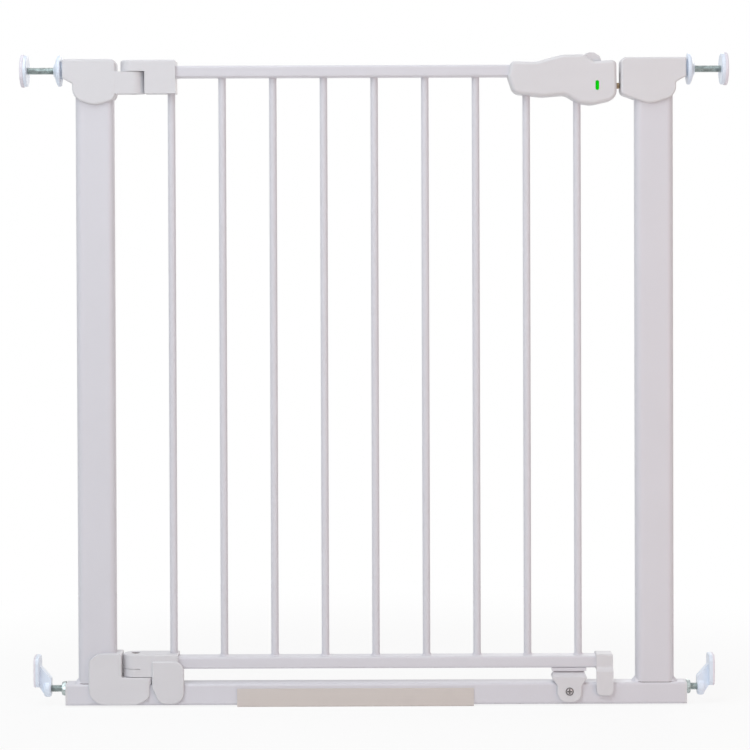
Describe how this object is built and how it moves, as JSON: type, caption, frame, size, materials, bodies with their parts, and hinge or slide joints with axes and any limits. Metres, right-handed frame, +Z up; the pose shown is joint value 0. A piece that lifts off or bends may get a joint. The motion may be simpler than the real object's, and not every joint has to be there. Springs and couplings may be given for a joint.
{
  "type": "safety baby gate",
  "caption": "Pressure-fit metal gate for a doorway: welded frame with a barred door that lifts and swings, a thumb latch and screw adjusters with wall pads.",
  "frame": {"origin": "on the floor, under the middle of the gate's width, at the middle of the frame's depth", "axes": "+X to the right seen from the front, +Y away from the viewer, +Z up"},
  "size_m": [0.782, 0.0364, 0.7234],
  "materials": {
    "white_paint": "satin white powder coat",
    "white_plastic": "satin white moulding",
    "clear_white_plastic": "semi-gloss cool white moulding",
    "pale_rubber": "matt soft white rubber",
    "zinc_steel": "bright zinc plate",
    "browned_steel": "browned and oiled",
    "beige_plastic": "matt pale beige",
    "green_plastic": "bright green",
    "nylon": "natural nylon"
  },
  "bodies": {
    "frame": {"bottom_rail": "white_paint", "left_post": "white_paint", "right_post": "white_paint", "left_rail_end_cap": "white_plastic", "right_rail_end_cap": "white_plastic", "left_top_bracket": "white_plastic", "right_top_bracket": "white_plastic", "bracket_screws": "zinc_steel", "lower_hinge_boot": "white_plastic", "lower_hinge_pin": "browned_steel", "catch_block": "white_plastic", "catch_screw": "zinc_steel", "threshold_strip": "beige_plastic"},
    "lift_bush": {"hinge_bush": "nylon"},
    "door": {"door_top_rail": "white_paint", "door_bottom_rail": "white_paint", "door_bar_1": "white_paint", "door_bar_2": "white_paint", "door_bar_3": "white_paint", "door_bar_4": "white_paint", "door_bar_5": "white_paint", "door_bar_6": "white_paint", "door_bar_7": "white_paint", "door_bar_8": "white_paint", "door_bar_9": "white_paint", "upper_door_hinge": "white_plastic", "upper_hinge_pin": "zinc_steel", "lower_door_hinge": "white_plastic", "door_stop_hook": "white_plastic", "catch_tab": "white_paint", "handle_front_shell": "white_plastic", "handle_back_shell": "white_plastic", "handle_screws": "zinc_steel", "latch_spring": "zinc_steel"},
    "latch": {"thumb_slider": "white_plastic", "latch_carriage": "nylon", "latch_bolt": "browned_steel", "indicator_flag": "green_plastic"},
    "upper_left_screw": {"upper_left_spindle": "zinc_steel", "upper_left_pad_cup": "clear_white_plastic", "upper_left_wall_pad": "pale_rubber"},
    "upper_left_hand_wheel": {"upper_left_wheel": "clear_white_plastic"},
    "lower_left_screw": {"lower_left_spindle": "zinc_steel"},
    "lower_left_lock_nut": {"lower_left_nut": "zinc_steel"},
    "lower_left_offset_foot": {"lower_left_foot": "clear_white_plastic", "lower_left_foot_pad": "pale_rubber"},
    "upper_right_screw": {"upper_right_spindle": "zinc_steel", "upper_right_pad_cup": "clear_white_plastic", "upper_right_wall_pad": "pale_rubber"},
    "upper_right_hand_wheel": {"upper_right_wheel": "clear_white_plastic"},
    "lower_right_screw": {"lower_right_spindle": "zinc_steel"},
    "lower_right_lock_nut": {"lower_right_nut": "zinc_steel"},
    "lower_right_offset_foot": {"lower_right_foot": "clear_white_plastic", "lower_right_foot_pad": "pale_rubber"}
  },
  "joints": [
    {"name": "door_lift", "type": "slide", "parent": "frame", "child": "lift_bush", "axis": [0, 0, 1], "range_m": [0, 0.01]},
    {"name": "door_swing", "type": "hinge", "parent": "lift_bush", "child": "door", "pos_m": [-0.2672, 0, 0.043], "axis": [0, 0, -1], "range_deg": [0, 90]},
    {"name": "latch_slide", "type": "slide", "parent": "door", "child": "latch", "axis": [1, 0, 0], "range_m": [-0.004, 0.008], "stiffness_N_per_m": 250, "deforming": ["latch_spring"]},
    {"name": "upper_left_hand_wheel_turn", "type": "hinge", "parent": "frame", "child": "upper_left_hand_wheel", "pos_m": [-0.35, 0, 0.705], "axis": [1, 0, 0], "range_deg": [-7290, 810]},
    {"name": "upper_left_screw_slide", "type": "slide", "parent": "frame", "child": "upper_left_screw", "axis": [-1, 0, 0], "range_m": [-0.025, 0.0025]},
    {"name": "lower_left_lock_nut_turn", "type": "hinge", "parent": "frame", "child": "lower_left_lock_nut", "pos_m": [-0.3469, 0, 0.019], "axis": [1, 0, 0], "range_deg": [-1530, 5130]},
    {"name": "lower_left_screw_slide", "type": "slide", "parent": "frame", "child": "lower_left_screw", "axis": [-1, 0, 0], "range_m": [-0.005, 0.0175]},
    {"name": "lower_left_foot_swivel", "type": "hinge", "parent": "lower_left_screw", "child": "lower_left_offset_foot", "pos_m": [-0.3684, 0, 0.019], "axis": [1, 0, 0], "range_deg": [-90, 90]},
    {"name": "upper_right_hand_wheel_turn", "type": "hinge", "parent": "frame", "child": "upper_right_hand_wheel", "pos_m": [0.35, 0, 0.705], "axis": [-1, 0, 0], "range_deg": [-7290, 810]},
    {"name": "upper_right_screw_slide", "type": "slide", "parent": "frame", "child": "upper_right_screw", "axis": [1, 0, 0], "range_m": [-0.025, 0.0025]},
    {"name": "lower_right_lock_nut_turn", "type": "hinge", "parent": "frame", "child": "lower_right_lock_nut", "pos_m": [0.3469, 0, 0.019], "axis": [-1, 0, 0], "range_deg": [-1530, 5130]},
    {"name": "lower_right_screw_slide", "type": "slide", "parent": "frame", "child": "lower_right_screw", "axis": [1, 0, 0], "range_m": [-0.005, 0.0175]},
    {"name": "lower_right_foot_swivel", "type": "hinge", "parent": "lower_right_screw", "child": "lower_right_offset_foot", "pos_m": [0.364, 0, 0.019], "axis": [1, 0, 0], "range_deg": [-90, 90]}
  ],
  "couplings": [
    {"joint": "upper_left_hand_wheel_turn", "follows": "upper_left_screw_slide", "rad_per_m": 5026.5},
    {"joint": "lower_left_lock_nut_turn", "follows": "lower_left_screw_slide", "rad_per_m": 5026.5},
    {"joint": "upper_right_hand_wheel_turn", "follows": "upper_right_screw_slide", "rad_per_m": 5026.5},
    {"joint": "lower_right_lock_nut_turn", "follows": "lower_right_screw_slide", "rad_per_m": 5026.5}
  ]
}
